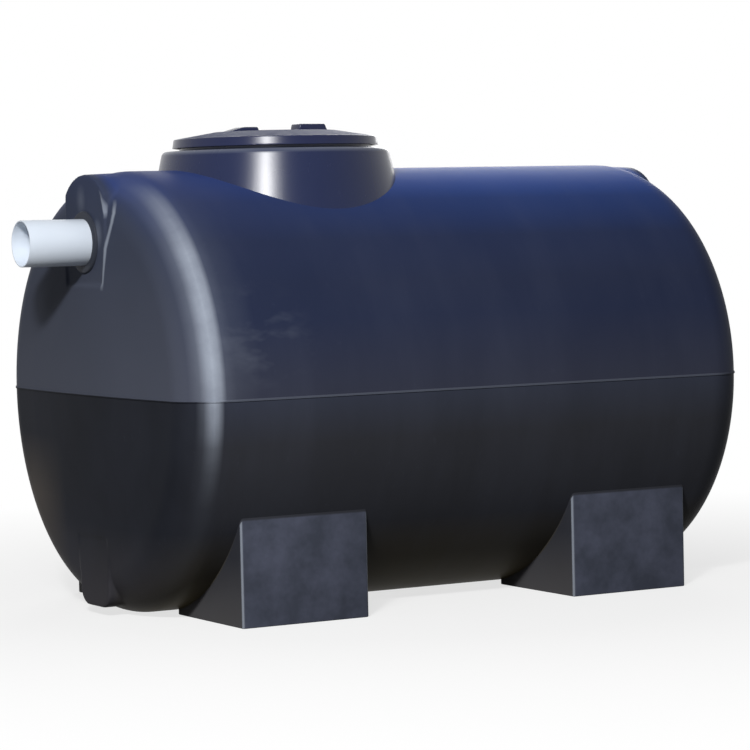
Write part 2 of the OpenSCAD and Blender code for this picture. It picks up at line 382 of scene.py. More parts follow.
# How much wider the neck gets over each unit downwards, how far below its top it has its
# radius, and how deep its form is rooted in the barrel.
NECK_DRAFT = 0.218
NECK_R_DOWN = 0.014
NECK_ROOT = 0.12
SHOULDER_R = 0.010
MOUTH_R = 0.225
RING_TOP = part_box("manhole_ring")[1].z
RING_R = (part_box("manhole_ring")[1].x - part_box("manhole_ring")[0].x) / 2


def barrel_drum(name):
    """A plain closed drum between the two ends' skins."""
    begin()
    bpy.ops.mesh.primitive_cylinder_add(
        vertices=288, radius=BARREL_R, depth=2 * SPLIT_X,
        rotation=(0, math.pi / 2, 0), location=(0, 0, AXIS_Z))
    return named(name)


def barrel_skin(skin, up):
    """Opens a drum's ends, keeps one half and gives it its wall."""
    edit(skin)
    pick_faces(skin, lambda at, normal: abs(abs(at.x) - SPLIT_X) < NEARLY)
    bpy.ops.mesh.delete(type="FACE")
    done()
    bisect(skin, (0, 0, AXIS_Z), (0, 0, 1), keep_above=up > 0, keep_below=up < 0)
    walled(skin, up, 25)


def neck_cone():
    """The manhole neck's form, which widens downwards under a rounded shoulder."""
    foot_z = TOP_Z - NECK_ROOT
    height = NECK_TOP - foot_z
    rim = NECK_R - NECK_DRAFT * NECK_R_DOWN
    begin()
    bpy.ops.mesh.primitive_cone_add(
        vertices=240, radius1=rim + NECK_DRAFT * height, radius2=rim,
        depth=height, location=(MANHOLE.x, 0, foot_z + height / 2))
    neck = named("neck_form")
    edit(neck)
    pick_edges(neck, lambda a, b: min(a.z, b.z) > NECK_TOP - NEARLY)
    bpy.ops.mesh.bevel(offset=SHOULDER_R, segments=8)
    done()
    # A ring close under the shoulder keeps its shading off the wall.
    bisect(neck, (0, 0, NECK_TOP - SHOULDER_R - 0.004), (0, 0, 1))
    return neck


def upper_barrel_skin():
    """The upper half of the barrel with the manhole neck moulded onto it."""
    skin = barrel_drum("upper_barrel_skin")
    combine(skin, neck_cone(), "UNION")
    begin()
    bpy.ops.mesh.primitive_cylinder_add(
        vertices=240, radius=MOUTH_R, depth=0.3, location=(MANHOLE.x, 0, NECK_TOP))
    combine(skin, named("mouth_hole"), "DIFFERENCE")
    edit(skin)
    pick_faces(skin, lambda at, normal: at.z < NECK_TOP - WALL / 2 and
               math.hypot(at.x - MANHOLE.x, at.y) < MOUTH_R + 2 * NEARLY)
    bpy.ops.mesh.delete(type="FACE")
    done()
    barrel_skin(skin, 1)
    return belongs(skin, "tank", "tank_upper", "barrel_upper", "manhole_neck")


FOOT_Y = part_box("foot_inlet_back")[1].y
# How far below the barrel's axis a foot's block ends, well inside the barrel.
FOOT_DOWN = 0.15


def foot_block(side, row):
    """One foot: a block with rounded upright edges on its outer side."""
    low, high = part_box(f"foot_{SIDE_NAME[side]}_{ROW_NAME[row]}")
    top = AXIS_Z - FOOT_DOWN
    begin()
    bpy.ops.mesh.primitive_cube_add(
        size=1, location=((low.x + high.x) / 2, (low.y + high.y) / 2, top / 2),
        scale=(high.x - low.x, high.y - low.y, top))
    foot = named("foot")
    edit(foot)
    pick_edges(foot, lambda a, b: abs(a.z - b.z) > top / 2 and abs(a.y - row * FOOT_Y) < NEARLY)
    bpy.ops.mesh.bevel(offset=0.007, segments=4)
    pick_edges(foot, lambda a, b: max(a.z, b.z) < NEARLY)
    bpy.ops.mesh.bevel(offset=0.003, segments=3)
    done()
    return foot


def lower_barrel_skin():
    """The lower half of the barrel with its four hollow feet."""
    skin = barrel_drum("lower_barrel_skin")
    for side in (-1, 1):
        # A ring on either side of the feet keeps their shading off the barrel.
        low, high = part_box(f"foot_{SIDE_NAME[side]}_front")
        for cut_x in (low.x - 0.004, high.x + 0.004):
            bisect(skin, (cut_x, 0, 0), (1, 0, 0))
        for row in ROW_NAME:
            combine(skin, foot_block(side, row), "UNION")
    barrel_skin(skin, -1)
    feet = [f"foot_{end}_{row}" for end in SIDE_NAME.values() for row in ROW_NAME.values()]
    return belongs(skin, "tank", "tank_lower", "barrel_lower", *feet)


# ---- mouth ring, lid and its rubber ring ----------------------------------

LID_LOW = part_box("lid_skirt")[0].z
LID_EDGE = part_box("lid_skirt")[1].z
CROWN_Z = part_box("lid_top")[1].z
LID_T = 0.006
SKIRT_TAPER = 0.0035
CROWN_SLOPE_W = 0.095
# The thread of lid and mouth: its pitch, its turns, its height and how far it stands proud.
PITCH = 0.006
TURNS = 1.25
THREAD_H = 0.005
THREAD_PROUD = 0.004
# How far a grip's inner end leans in, and how far the two grips' outer ends slope.
GRIP_LEAN = 0.004
RAMP_SLOPE = 0.041
BLOCK_SLOPE = 0.008


def mouth_tube(name, low, high, soften):
    """A short tube as wide as the mouth ring, with softened rims."""
    begin()
    bpy.ops.mesh.primitive_cylinder_add(
        vertices=192, radius=RING_R, depth=high - low, end_fill_type="NOTHING",
        location=(MANHOLE.x, 0, (low + high) / 2))
    wall = named(name)
    finish_with(wall, "SOLIDIFY", thickness=RING_R - MOUTH_R, offset=-1, use_even_offset=True)
    finish_with(wall, "BEVEL", width=soften, segments=3, limit_method="ANGLE")
    return wall


def thread(name, radius, low, outwards):
    """A ridge that climbs round the manhole's axis, outwards (1) or inwards (-1) of a radius."""
    centre = (radius, 0, low)
    begin()
    bpy.ops.mesh.primitive_plane_add(
        size=1, rotation=(math.pi / 2, 0, 0), location=centre)
    ridge = named(name)
    edit(ridge)
    bpy.ops.mesh.select_all(action="SELECT")
    bpy.ops.transform.resize(value=(THREAD_PROUD * 2, 1, THREAD_H), center_override=centre)
    pick_edges(ridge, lambda a, b: (a.x - radius) * outwards > 0 and (b.x - radius) * outwards > 0)
    bpy.ops.transform.resize(value=(1, 1, 0.45), center_override=centre)
    done()
    steps = int(160 * TURNS)
    finish_with(ridge, "SCREW", angle=TURNS * 2 * math.pi, screw_offset=PITCH * TURNS,
                steps=steps, render_steps=steps, axis="Z", use_normal_calculate=True)
    ridge.data.transform(Matrix.Translation((MANHOLE.x, 0, 0)))
    outward(ridge)
    return ridge


def mouth_ring():
    """The ring round the mouth, with the outer thread that the lid screws onto."""
    ring = mouth_tube("mouth_ring", NECK_TOP, RING_TOP, 0.002)
    join(ring, thread("ring_thread", RING_R, NECK_TOP + 0.005, 1))
    smooth(ring, 35)
    return belongs(ring, "tank", "neck", "manhole_ring")


def lid_cover():
    """The lid's skirt and crown, drawn up from one drum, with the thread inside."""
    begin()
    bpy.ops.mesh.primitive_cylinder_add(
        vertices=192, radius=LID_R, depth=LID_EDGE - LID_LOW,
        location=(MANHOLE.x, 0, (LID_LOW + LID_EDGE) / 2))
    lid = named("lid_cover")
    edit(lid)
    pick_faces(lid, lambda at, normal: normal.z < -0.9)
    bpy.ops.mesh.delete(type="FACE")
    pick_faces(lid, lambda at, normal: normal.z > 0.9)
    crown = (MANHOLE.x, 0, CROWN_Z)
    rim_r = LID_R - SKIRT_TAPER
    bpy.ops.transform.resize(value=(rim_r / LID_R, rim_r / LID_R, 1), center_override=crown)
    slope_r = LID_R - LID_T
    push((0, 0, 0), crown, (slope_r / rim_r, slope_r / rim_r, 1))
    grow = (slope_r - CROWN_SLOPE_W) / slope_r
    push((0, 0, CROWN_Z - LID_EDGE), crown, (grow, grow, 1))
    push((0, 0, 0), crown, (0.5, 0.5, 1))
    done()
    finish_with(lid, "SOLIDIFY", thickness=LID_T, offset=-1, use_even_offset=True)

    def on_rim(at):
        return (at.z > LID_EDGE - NEARLY and
                math.hypot(at.x - MANHOLE.x, at.y) > rim_r - 5 * NEARLY)

    edit(lid)
    pick_edges(lid, lambda a, b: on_rim(a) and on_rim(b))
    bpy.ops.mesh.bevel(offset=0.0025, segments=4)
    done()
    finish_with(lid, "BEVEL", width=0.0022, segments=3, limit_method="ANGLE",
                angle_limit=math.radians(40))
    join(lid, thread("lid_thread", slope_r, LID_LOW + 0.004, -1))
    # Rings beside the rounded rims keep their shading off the skirt.
    for ring_z in (LID_LOW + 0.003, LID_EDGE - 0.0035):
        bisect(lid, (0, 0, ring_z), (0, 0, 1))
    smooth(lid, 30)
    return belongs(lid, "lid", "lid", "lid_top", "lid_skirt")


def lid_grip(side, node, name, slope):
    """A moulded grip: its outer end slopes, its inner end leans a little, its edges are soft."""
    low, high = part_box(node)
    outer, inner = (high.x, low.x) if side > 0 else (low.x, high.x)
    begin()
    bpy.ops.mesh.primitive_cube_add(size=1, location=(low + high) / 2, scale=high - low)
    grip = named(name)
    edit(grip)
    for end_x, lean in ((outer, -side * slope), (inner, side * GRIP_LEAN)):
        pick_edges(grip, lambda a, b: min(a.z, b.z) > high.z - TOUCHING and
                   abs(a.x - end_x) < TOUCHING and abs(b.x - end_x) < TOUCHING)
        bpy.ops.transform.translate(value=(lean, 0, 0))
    done()
    finish_with(grip, "BEVEL", width=0.0035, segments=4, limit_method="ANGLE",
                angle_limit=math.radians(5))
    smooth(grip, 40)
    return belongs(grip, "lid", "lid", node)


def lid_rubber():
    """The flat rubber ring between the lid and the mouth ring."""
    low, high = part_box("lid_seal")
    ring = mouth_tube("lid_rubber", low.z, high.z, 0.0018)
    smooth(ring, 40)
    return belongs(ring, "lid", "seal", "lid_seal")


# ---- pipes and their rubber seals ------------------------------------------

PIPE_R = 0.055
PIPE_WALL = 0.0032
# A seal's section, from the top of its outer lip inwards: distance outside the seat, radius.
SEAL_SECTION = ((0.006, 0.0712), (0, 0.074), (0, SEAL_HOLE_R), (-0.012, SEAL_HOLE_R),
                (-0.012, 0.069), (-0.018, 0.067), (-0.018, PIPE_R))


def pipe_stub(side):
    """A stub of drain pipe, open through."""
    low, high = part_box(SIDE_NAME[side] + "_pipe")
    begin()
    bpy.ops.mesh.primitive_cylinder_add(
        vertices=128, radius=PIPE_R, depth=high.x - low.x, end_fill_type="NOTHING",
        rotation=(0, math.pi / 2, 0), location=((low.x + high.x) / 2, 0, PIPE_Z[side]))
    pipe = named(SIDE_NAME[side] + "_pipe_stub")
    finish_with(pipe, "SOLIDIFY", thickness=PIPE_WALL, offset=-1, use_even_offset=True)
    finish_with(pipe, "BEVEL", width=0.0007, segments=2, limit_method="ANGLE")
    smooth(pipe, 35)
    return belongs(pipe, "tank", "pipe", SIDE_NAME[side] + "_pipe")


def pipe_seal(side):
    """A moulded rubber seal: an outer lip, a groove that grips the seat, an inner lip."""
    at, radius = SEAL_SECTION[0][0], PIPE_R
    begin()
    bpy.ops.mesh.primitive_circle_add(
        vertices=128, radius=PIPE_R, rotation=(0, math.pi / 2, 0),
        location=(side * (SEAT_X + at), 0, PIPE_Z[side]))
    seal = named(SIDE_NAME[side] + "_pipe_seal")
    edit(seal)
    bpy.ops.mesh.select_all(action="SELECT")
    for next_at, next_radius in SEAL_SECTION:
        grow = next_radius / radius
        bpy.ops.mesh.extrude_edges_move(
            TRANSFORM_OT_translate={"value": (side * (next_at - at), 0, 0)})
        bpy.ops.transform.resize(value=(1, grow, grow),
                                 center_override=(side * (SEAT_X + next_at), 0, PIPE_Z[side]))
        at, radius = next_at, next_radius
    pick_edges(seal, lambda a, b: True, rims_alone=True)
    bpy.ops.mesh.bridge_edge_loops()
    done()
    outward(seal)
    finish_with(seal, "BEVEL", width=0.0016, segments=3, limit_method="ANGLE",
                angle_limit=math.radians(20))
    smooth(seal, 40)
    return belongs(seal, "tank", "seal", SIDE_NAME[side] + "_seal")


# ---- finishes --------------------------------------------------------------

BUMP_DEPTH = 0.001


class Value:
    """A number that varies over a surface; arithmetic on it adds Math nodes."""

    def __init__(self, finish, socket):
        self.finish = finish
        self.socket = socket

    def _math(self, operation, first, second):
        return self.finish.node("ShaderNodeMath", {"operation": operation}, {0: first, 1: second})

    def __add__(self, other):
        return self._math("ADD", self, other)

    def __radd__(self, other):
        return self._math("ADD", other, self)

    def __sub__(self, other):
        return self._math("SUBTRACT", self, other)

    def __rsub__(self, other):
        return self._math("SUBTRACT", other, self)

    def __mul__(self, other):
        return self._math("MULTIPLY", self, other)

    def __rmul__(self, other):
        return self._math("MULTIPLY", other, self)


class Nodes:
    """A node tree under construction."""

    def __init__(self, tree):
        self.tree = tree

    def node(self, kind, settings=None, inputs=None, out=0):
        """Adds a node with its settings, then links or fills its sockets."""
        new = self.tree.nodes.new(kind)
        for name, value in (settings or {}).items():
            if name == "stops":
                while len(new.color_ramp.elements) < len(value):
                    new.color_ramp.elements.new(1)
                for element, (position, shade) in zip(new.color_ramp.elements, value):
                    element.position = position
                    element.color = (shade, shade, shade, 1)
            else:
                setattr(new, name, value)
        for name, value in (inputs or {}).items():
            self.fill(new.inputs[name], value)
        return Value(self, new.outputs[out])

    def fill(self, socket, value):
        """Links a varying value to a socket, or puts a fixed one into it."""
        if isinstance(value, Value):
            self.tree.links.new(value.socket, socket)
        else:
            socket.default_value = value


class Finish(Nodes):
    """A material under construction."""

    def __init__(self, name, **fixed):
        self.material = bpy.data.materials.new(name)
        self.material.use_nodes = True
        super().__init__(self.material.node_tree)
        self.shader = self.tree.nodes["Principled BSDF"]
        for socket, value in fixed.items():
            self.shader.inputs[socket.replace("_", " ")].default_value = value
        self.place = self.node("ShaderNodeTexCoord", out="Object")

    def set(self, name, value):
        """Gives one input of the shader its value."""
        self.fill(self.shader.inputs[name], value)

    def noise(self, scale, detail, rough, stretch=(1, 1, 1)):
        """Noise over the surface; a stretch below 1 draws it out along that axis."""
        place = self.node("ShaderNodeMapping", None, {"Vector": self.place, "Scale": stretch})
        return self.node("ShaderNodeTexNoise", None,
                         {"Vector": place, "Scale": scale, "Detail": detail, "Roughness": rough})

    def ramp(self, value, *stops):
        """A ramp over the stops, whatever range they span."""
        first, span = stops[0][0], stops[-1][0] - stops[0][0]
        stops = [((at - first) / span, level) for at, level in stops]
        return self.node("ShaderNodeValToRGB", {"stops": stops},
                         {"Fac": (value - first) * (1 / span)})

    def mix(self, factor, first, second):
        """The second colour laid over the first by a factor."""
        return self.node("ShaderNodeMix", {"data_type": "RGBA"},
                         {"Factor": factor, 6: first, 7: second}, out=2)

    def height(self):
        """Height above the floor."""
        return self.node("ShaderNodeSeparateXYZ", None, {"Vector": self.place}, out="Z")

    def away(self, centre, axes):
        """Distance from a centre, measured along the given axes alone."""
        out = self.node("ShaderNodeVectorMath", {"operation": "SUBTRACT"},
                        {0: self.place, 1: centre})
        flat = self.node("ShaderNodeVectorMath", {"operation": "MULTIPLY"}, {0: out, 1: axes})
        return self.node("ShaderNodeVectorMath", {"operation": "LENGTH"}, {0: flat}, out="Value")

    def bump(self, value, strength):
        """Raises the surface's shading where a value is high."""
        self.set("Normal", self.node("ShaderNodeBump", None,
                                     {"Height": value, "Strength": strength,
                                      "Distance": BUMP_DEPTH}))


def tone(red, green, blue):
    """A screen colour, 0 to 255, as the light it stands for."""
    return tuple((c / 255 / 12.92 if c < 11 else ((c / 255 + 0.055) / 1.055) ** 2.4)
                 for c in (red, green, blue)) + (1,)


WHITE = (1, 1, 1, 1)
# Wear and painted light: fine scuffs; a pale tone for painted highlights and scuffs; feet paler
# towards the floor; painted warm reflections of the ground underneath and on the back edge.
SCUFFED = tone(118, 124, 146)
HIGHLIGHT_AND_WEAR_PALE = tone(166, 174, 188)
FEET_PALER_LOW = tone(96, 94, 94)
GROUND_REFLECTION_BARREL = tone(92, 84, 60)
GROUND_REFLECTION_END = tone(68, 66, 69)
WARM_REFLECTION_EDGE = tone(104, 96, 88)
# The upper half, from the parting line to the top: dark blue plastic, with painted sky reflection
# that grows bluer upwards and bluest along the top, and painted sheen on the ends.
BARREL_AT_LINE = tone(55, 58, 73)
BARREL_BLUE = tone(41, 48, 72)
END_SHEEN_AT_LINE = tone(78, 82, 95)
END_SHEEN_HIGH = tone(54, 60, 76)
SKY_REFLECTION_NEAR = tone(50, 64, 114)
SKY_REFLECTION_FAR = tone(48, 84, 166)
# The lower half, painted blue-grey at the parting line as sky reflection and darker on the ends as
# shade, and the two shades of the feet's faces.
LOWER_BARREL = tone(51, 52, 57)
LOWER_AT_LINE = tone(54, 58, 71)
LOWER_END_SHADE = tone(32, 34, 40)
FOOT_DARK = tone(66, 70, 82)
FOOT_PALE = tone(84, 88, 104)
# Neck, lid, pipes and rubber.
NECK_BLUE = tone(0, 20, 64)
LID_BLUE = tone(4, 18, 62)
CROWN_BLUE = tone(50, 57, 88)
PIPE_WHITE = tone(224, 233, 244)
PIPE_SHADED = tone(212, 222, 236)
RUBBER_DARK = tone(40, 43, 52)
RUBBER_PALE = tone(56, 60, 70)
FLOOR_PALE = tone(250, 250, 250)
FLOOR_BOUNCE = tone(112, 112, 112)

# How much the big dull skins shine, and the glossier neck and lid.
DULL = 0.01
NECK_SHINE = 0.36
LID_SHINE = 0.34

# Distances inwards are taken from this plane beyond the inlet end.
INLET_MARK = (-BARREL_END - 0.2, 0, 0)
# The painted highlight band round the inlet's knuckle on each half: its strength over that
# distance, and over the height.
UPPER_KNUCKLE_HIGHLIGHT = (((0.108, 0), (0.126, 0.2), (0.141, 0.75), (0.153, 1), (0.168, 0.75),
               (0.180, 0.15), (0.205, 0.07), (0.27, 0)),
              ((0.53, 0.8), (0.60, 0.92), (0.70, 0.94), (0.85, 0.80), (0.98, 0.34),
               (1.02, 0.06), (1.04, 0)))
LOWER_KNUCKLE_HIGHLIGHT = (((0.118, 0), (0.132, 0.2), (0.145, 0.8), (0.153, 1), (0.161, 0.8), (0.175, 0)),
              ((0.28, 0.02), (0.36, 0.10), (0.42, 0.22), (0.47, 0.6), (0.52, 0.85)))


def moulded(finish, colour, rough, scuffed):
    """Satin polyethylene: soft cloudy patches, faint scuffs and a fine pebble."""
    clouds = finish.ramp(finish.noise(2.6, 3, 0.55), (0.35, 0), (0.72, 1))
    streaks = finish.ramp(finish.noise(5.0, 4, 0.6, (1.6, 0.5, 0.35)), (0.45, 0), (0.8, 1))
    scuffs = finish.ramp(finish.noise(60, 5, 0.7, (1, 1, 0.35)), (0.62, 0), (0.74, 1))
    wear = clouds * 0.4 + streaks * 0.5 + scuffs * 0.4
    finish.set("Base Color", finish.mix(wear * scuffed, colour, SCUFFED))
    finish.set("Roughness", rough + wear * 0.08 - streaks * 0.04)
    pebble = finish.noise(420, 2, 0.5)
    waves = finish.noise(14, 2, 0.5)
    finish.bump(pebble * 0.1 + waves * 0.5, 0.3)
    return finish.material


def from_middle(finish):
    """Distance along the tank from its middle."""
    return finish.away((0, 0, 0), (1, 0, 0))


def from_inlet(finish):
    """Distance inwards from the mark beyond the inlet end."""
    return finish.away(INLET_MARK, (1, 0, 0))


def sideways(finish):
    """Distance from the upright plane through the tank's axis."""
    return finish.away((0, 0, 0), (0, 1, 0))


def knuckle_highlight_band(finish, colour, across, upwards):
    """A painted highlight band round the inlet end's knuckle, which fades out downwards."""
    band = finish.ramp(from_inlet(finish), *across)
    broken = finish.ramp(finish.noise(12, 5, 0.65), (0.25, 0.75), (0.6, 1))
    strength = finish.ramp(finish.height(), *upwards)
    return finish.mix(band * broken * strength, colour, HIGHLIGHT_AND_WEAR_PALE)


def lip_highlight_line(finish, colour):
    """A faint painted highlight line along the parting line's lip, on the barrel only."""
    from_line = finish.away((0, 0, AXIS_Z), (0, 0, 1))
    lip = finish.ramp(from_line, (LIP_H * 0.95, 0.14), (LIP_H * 1.1, 0))
    on_barrel = finish.ramp(from_middle(finish), (BARREL_END, 1), (BARREL_END + 0.08, 0))
    return finish.mix(lip * on_barrel, colour, HIGHLIGHT_AND_WEAR_PALE)


# The painted highlight streaks on the front side of the inlet seat, one along the face's edge
# and one along the foot of its flank: height, and distance to the side.
EDGE_STREAK = ((0.947, 0.108), (0.970, 0.103), (0.994, 0.095), (1.017, 0.078))
FLANK_STREAK = ((0.777, 0.098), (0.870, 0.112), (0.930, 0.140), (0.951, 0.142),
                (0.970, 0.134), (1.012, 0.102))


def seat_highlights(finish, colour):
    """Painted highlight streaks down the front of the inlet seat, and two painted highlight
    patches on its face.
    """
    aside = finish.away((0, 1, 0), (0, 1, 0)) - 1
    height = finish.height()
    on_inlet = finish.ramp(from_inlet(finish), (0.12, 1), (0.14, 0))
    edge = finish.ramp(aside - finish.ramp(height, *EDGE_STREAK),
                       (-0.003, 0), (0, 1), (0.004, 0.8), (0.008, 0))
    edge = edge * finish.ramp(height, (0.938, 0), (0.955, 1), (0.985, 0.9), (1.008, 0))
    flank = finish.ramp(aside - finish.ramp(height, *FLANK_STREAK),
                        (-0.010, 0), (-0.003, 1), (0.003, 1), (0.010, 0))
    flank = flank * finish.ramp(height, (0.77, 0), (0.79, 1), (0.955, 1), (0.985, 0))
    colour = finish.mix((edge * 0.55 + flank * 0.65) * on_inlet, colour, HIGHLIGHT_AND_WEAR_PALE)
    # Two painted highlight patches on the seat's face.
    for y, z, share in ((0.015, 0.985, 0.14), (-0.072, 0.903, 0.25)):
        scuff_and_highlight_spot = finish.ramp(finish.away((-SEAT_X, y, z), (0, 1, 0.7)), (0.004, 1), (0.028, 0))
        colour = finish.mix(scuff_and_highlight_spot * on_inlet * share, colour, HIGHLIGHT_AND_WEAR_PALE)
    return colour


def upper_plastic():
    """The upper half: dark blue on the barrel with a painted sky reflection that grows bluer
    upwards and bluest along the top, and ends made lighter and greyer by a painted sheen.
    """
    finish = Finish("upper_plastic", Specular_IOR_Level=DULL)
    height = finish.height()
    along = from_middle(finish)
    # Painted sky reflection: the barrel grows bluer from the parting line upwards.
    blue = finish.ramp(height, (0.53, 0), (0.70, 1))
    barrel = finish.mix(blue, BARREL_AT_LINE, BARREL_BLUE)
    # Painted sheen: the ends are lighter and greyer, most at the parting line.
    end_sheen_tone = finish.mix(finish.ramp(height, (0.53, 0), (0.95, 1)), END_SHEEN_AT_LINE, END_SHEEN_HIGH)
    colour = finish.mix(finish.ramp(along, (0.69, 0), (0.77, 1)), barrel, end_sheen_tone)

    # Painted sky reflection along the top, bluer towards the outlet end, and not on the seat.
    top = finish.ramp(height, (0.78, 0), (0.88, 0.06), (0.97, 0.36), (1.03, 1))
    off_seat = finish.ramp(along, (0.745, 1), (0.77, 0.15))
    outwards = finish.ramp(finish.away((-BARREL_END, 0, 0), (1, 0, 0)), (0, 0), (0.9, 1))
    colour = finish.mix(top * off_seat, colour, finish.mix(outwards, SKY_REFLECTION_NEAR, SKY_REFLECTION_FAR))

    scuff_and_highlight_spot = finish.ramp(finish.away((-0.58, 0, 0.665), (0.8, 0, 1)), (0.02, 1), (0.13, 0))
    smears = finish.ramp(finish.noise(13, 3, 0.6, (0.6, 1, 1.3)), (0.46, 0), (0.72, 1))
    colour = finish.mix(scuff_and_highlight_spot * smears * 0.14, colour, HIGHLIGHT_AND_WEAR_PALE)
    colour = knuckle_highlight_band(finish, colour, *UPPER_KNUCKLE_HIGHLIGHT)
    return moulded(finish, lip_highlight_line(finish, seat_highlights(finish, colour)), 0.42, 0.09)


def neck_plastic():
    """The glossier neck of the manhole, with a painted highlight along its rim below the lid."""
    finish = Finish("neck_plastic", Specular_IOR_Level=NECK_SHINE)
    # Painted highlight along the rim of the neck.
    rim = finish.ramp(finish.height(), (NECK_TOP - 0.012, 0), (NECK_TOP - 0.005, 1))
    return moulded(finish, finish.mix(rim * 0.17, NECK_BLUE, HIGHLIGHT_AND_WEAR_PALE), 0.255, 0.04)


def lower_plastic():
    """The lower half: near black, painted blue-grey at the parting line as sky reflection and
    darker on the ends as shade, with painted warm ground reflection underneath, greyer feet that
    grow paler towards the floor, and painted highlights on their upright edges.
    """
    finish = Finish("lower_plastic", Specular_IOR_Level=DULL)
    height = finish.height()
    aside = sideways(finish)
    # Painted sky reflection: blue-grey towards the parting line on the barrel. Painted shade:
    # darker on the ends.
    barrel = finish.mix(finish.ramp(height, (0.42, 0), (0.52, 1)), LOWER_BARREL, LOWER_AT_LINE)
    end = finish.ramp(from_middle(finish), (0.66, 0), (0.77, 1))
    colour = finish.mix(end, barrel, LOWER_END_SHADE)

    round_axis = finish.away((0, 0, AXIS_Z), (0, 1, 1))
    foot = finish.ramp(round_axis, (BARREL_R + 0.002, 0), (BARREL_R + 0.004, 1))
    # Painted warm reflection of the ground, strongest near the floor, not on the feet.
    under = finish.ramp(height, (0.02, 0.8), (0.22, 0)) * (1 - foot)
    colour = finish.mix(under, colour, finish.mix(end, GROUND_REFLECTION_BARREL, GROUND_REFLECTION_END))
    # Painted warm reflection of the ground on the back edge of the low ends.
    back_edge = finish.ramp(finish.away((0, -0.6, 0), (0, 1, 0)), (0.74, 0), (0.94, 1))
    warm_reflection = back_edge * end * finish.ramp(height, (0.27, 1), (0.42, 0))
    colour = finish.mix(warm_reflection * 0.6, colour, WARM_REFLECTION_EDGE)
    colour = knuckle_highlight_band(finish, colour, *LOWER_KNUCKLE_HIGHLIGHT)
    colour = lip_highlight_line(finish, colour)

    # The feet grow paler towards the floor.
    paler_low = finish.ramp(height, (0, 0.65), (0.16, 0))
    colour = finish.mix(foot * paler_low, colour, FEET_PALER_LOW)
    patches = finish.ramp(finish.noise(9, 4, 0.65), (0.38, 0), (0.66, 1))
    face = finish.ramp(aside, (FOOT_Y - 0.0012, 0), (FOOT_Y - 0.0004, 1))
    colour = finish.mix(foot * face, colour, finish.mix(patches, FOOT_DARK, FOOT_PALE))
    # Painted highlights on the feet's rounded upright edges.
    arris_highlight = finish.ramp(aside, (FOOT_Y - 0.0066, 0), (FOOT_Y - 0.0045, 1),
                        (FOOT_Y - 0.0016, 1), (FOOT_Y - 0.0003, 0))
    colour = finish.mix(foot * arris_highlight * 0.6, colour, HIGHLIGHT_AND_WEAR_PALE)
    return moulded(finish, colour, 0.42, 0.09)


def pipe_plastic():
    """Smooth white pipe with faint lines from being drawn."""
    finish = Finish("white_pipe_plastic", Specular_IOR_Level=0.5)
    clouds = finish.ramp(finish.noise(9, 3, 0.5), (0.3, 0), (0.75, 1))
    drawn = finish.noise(120, 3, 0.6, (0.03, 1, 1))
    finish.set("Base Color", finish.mix(clouds * 0.5, PIPE_WHITE, PIPE_SHADED))
    finish.set("Roughness", 0.28 + drawn * 0.12)
    finish.bump(drawn, 0.08)
    return finish.material


def rubber():
    """Matt black rubber with a fine grain."""
    finish = Finish("black_rubber", Specular_IOR_Level=0.08)
    grain = finish.noise(300, 4, 0.6)
    finish.set("Base Color", finish.mix(grain, RUBBER_DARK, RUBBER_PALE))
    finish.set("Roughness", 0.42 + grain * 0.2)
    finish.bump(grain, 0.2)
    return finish.material


def wear_finish(piece, material, where=None):
    """Gives a piece its material, or gives it to the faces whose middle passes a test."""
    if where is None:
        piece.data.materials.clear()
        piece.data.materials.append(material)
        return
    piece.data.materials.append(material)
    for face in piece.data.polygons:
        if where(face.center):
            face.material_index = len(piece.data.materials) - 1


def on_neck(at):
    """Whether a place on the upper barrel is on the manhole neck."""
    return at.z > AXIS_Z + 0.3 and math.hypot(at.y, at.z - AXIS_Z) > BARREL_R + 0.0005


def on_crown(at):
    """Whether a place on the lid is above its rim."""
    return at.z > LID_EDGE + 0.0003


# ---- floor, light and camera -------------------------------------------------

FILL_LIGHT = 0.07
# The key side is the front corner at the inlet; both front lamps stand there.
KEY_SIDE = (-0.573, -0.679, 0.46)
BACK_SIDE = (0.55, 0.75, 0.35)
LAMP_DISTANCE = 7.0
TANK_MIDDLE = Vector((0, 0, 0.5))
FLOOR_SIZE = 120


def seen_or_mirrored(nodes):
    """1 for what the camera sees straight, in gloss or through glass, 0 for other light."""
    rays = [nodes.node("ShaderNodeLightPath", out=ray)
            for ray in ("Is Camera Ray", "Is Glossy Ray", "Is Transmission Ray")]
    either = nodes.node("ShaderNodeMath", {"operation": "MAXIMUM"}, {0: rays[0], 1: rays[1]})
    return nodes.node("ShaderNodeMath", {"operation": "MAXIMUM"}, {0: either, 1: rays[2]})


def pale_floor():
    """A pale floor that keeps the tank's shadow and fades to plain white away from it."""
    begin()
    bpy.ops.mesh.primitive_plane_add(size=FLOOR_SIZE, location=(0, 0, 0))
    floor = named("floor")
    finish = Finish("pale_floor", Roughness=0.9, Specular_IOR_Level=0.1)
    seen = seen_or_mirrored(finish)
    finish.set("Base Color", finish.mix(seen, FLOOR_BOUNCE, FLOOR_PALE))
    white = finish.ramp(finish.away((0, 0, 0), (1, 1, 1)), (0.9, 0.72), (2.7, 1))
    glow = finish.node("ShaderNodeEmission", None, {"Color": WHITE, "Strength": 1.0})
    plain = Value(finish, finish.shader.outputs[0])
    both = finish.node("ShaderNodeMixShader", None, {0: seen * white, 1: plain, 2: glow})
    finish.fill(finish.tree.nodes["Material Output"].inputs["Surface"], both)
    wear_finish(floor, finish.material)


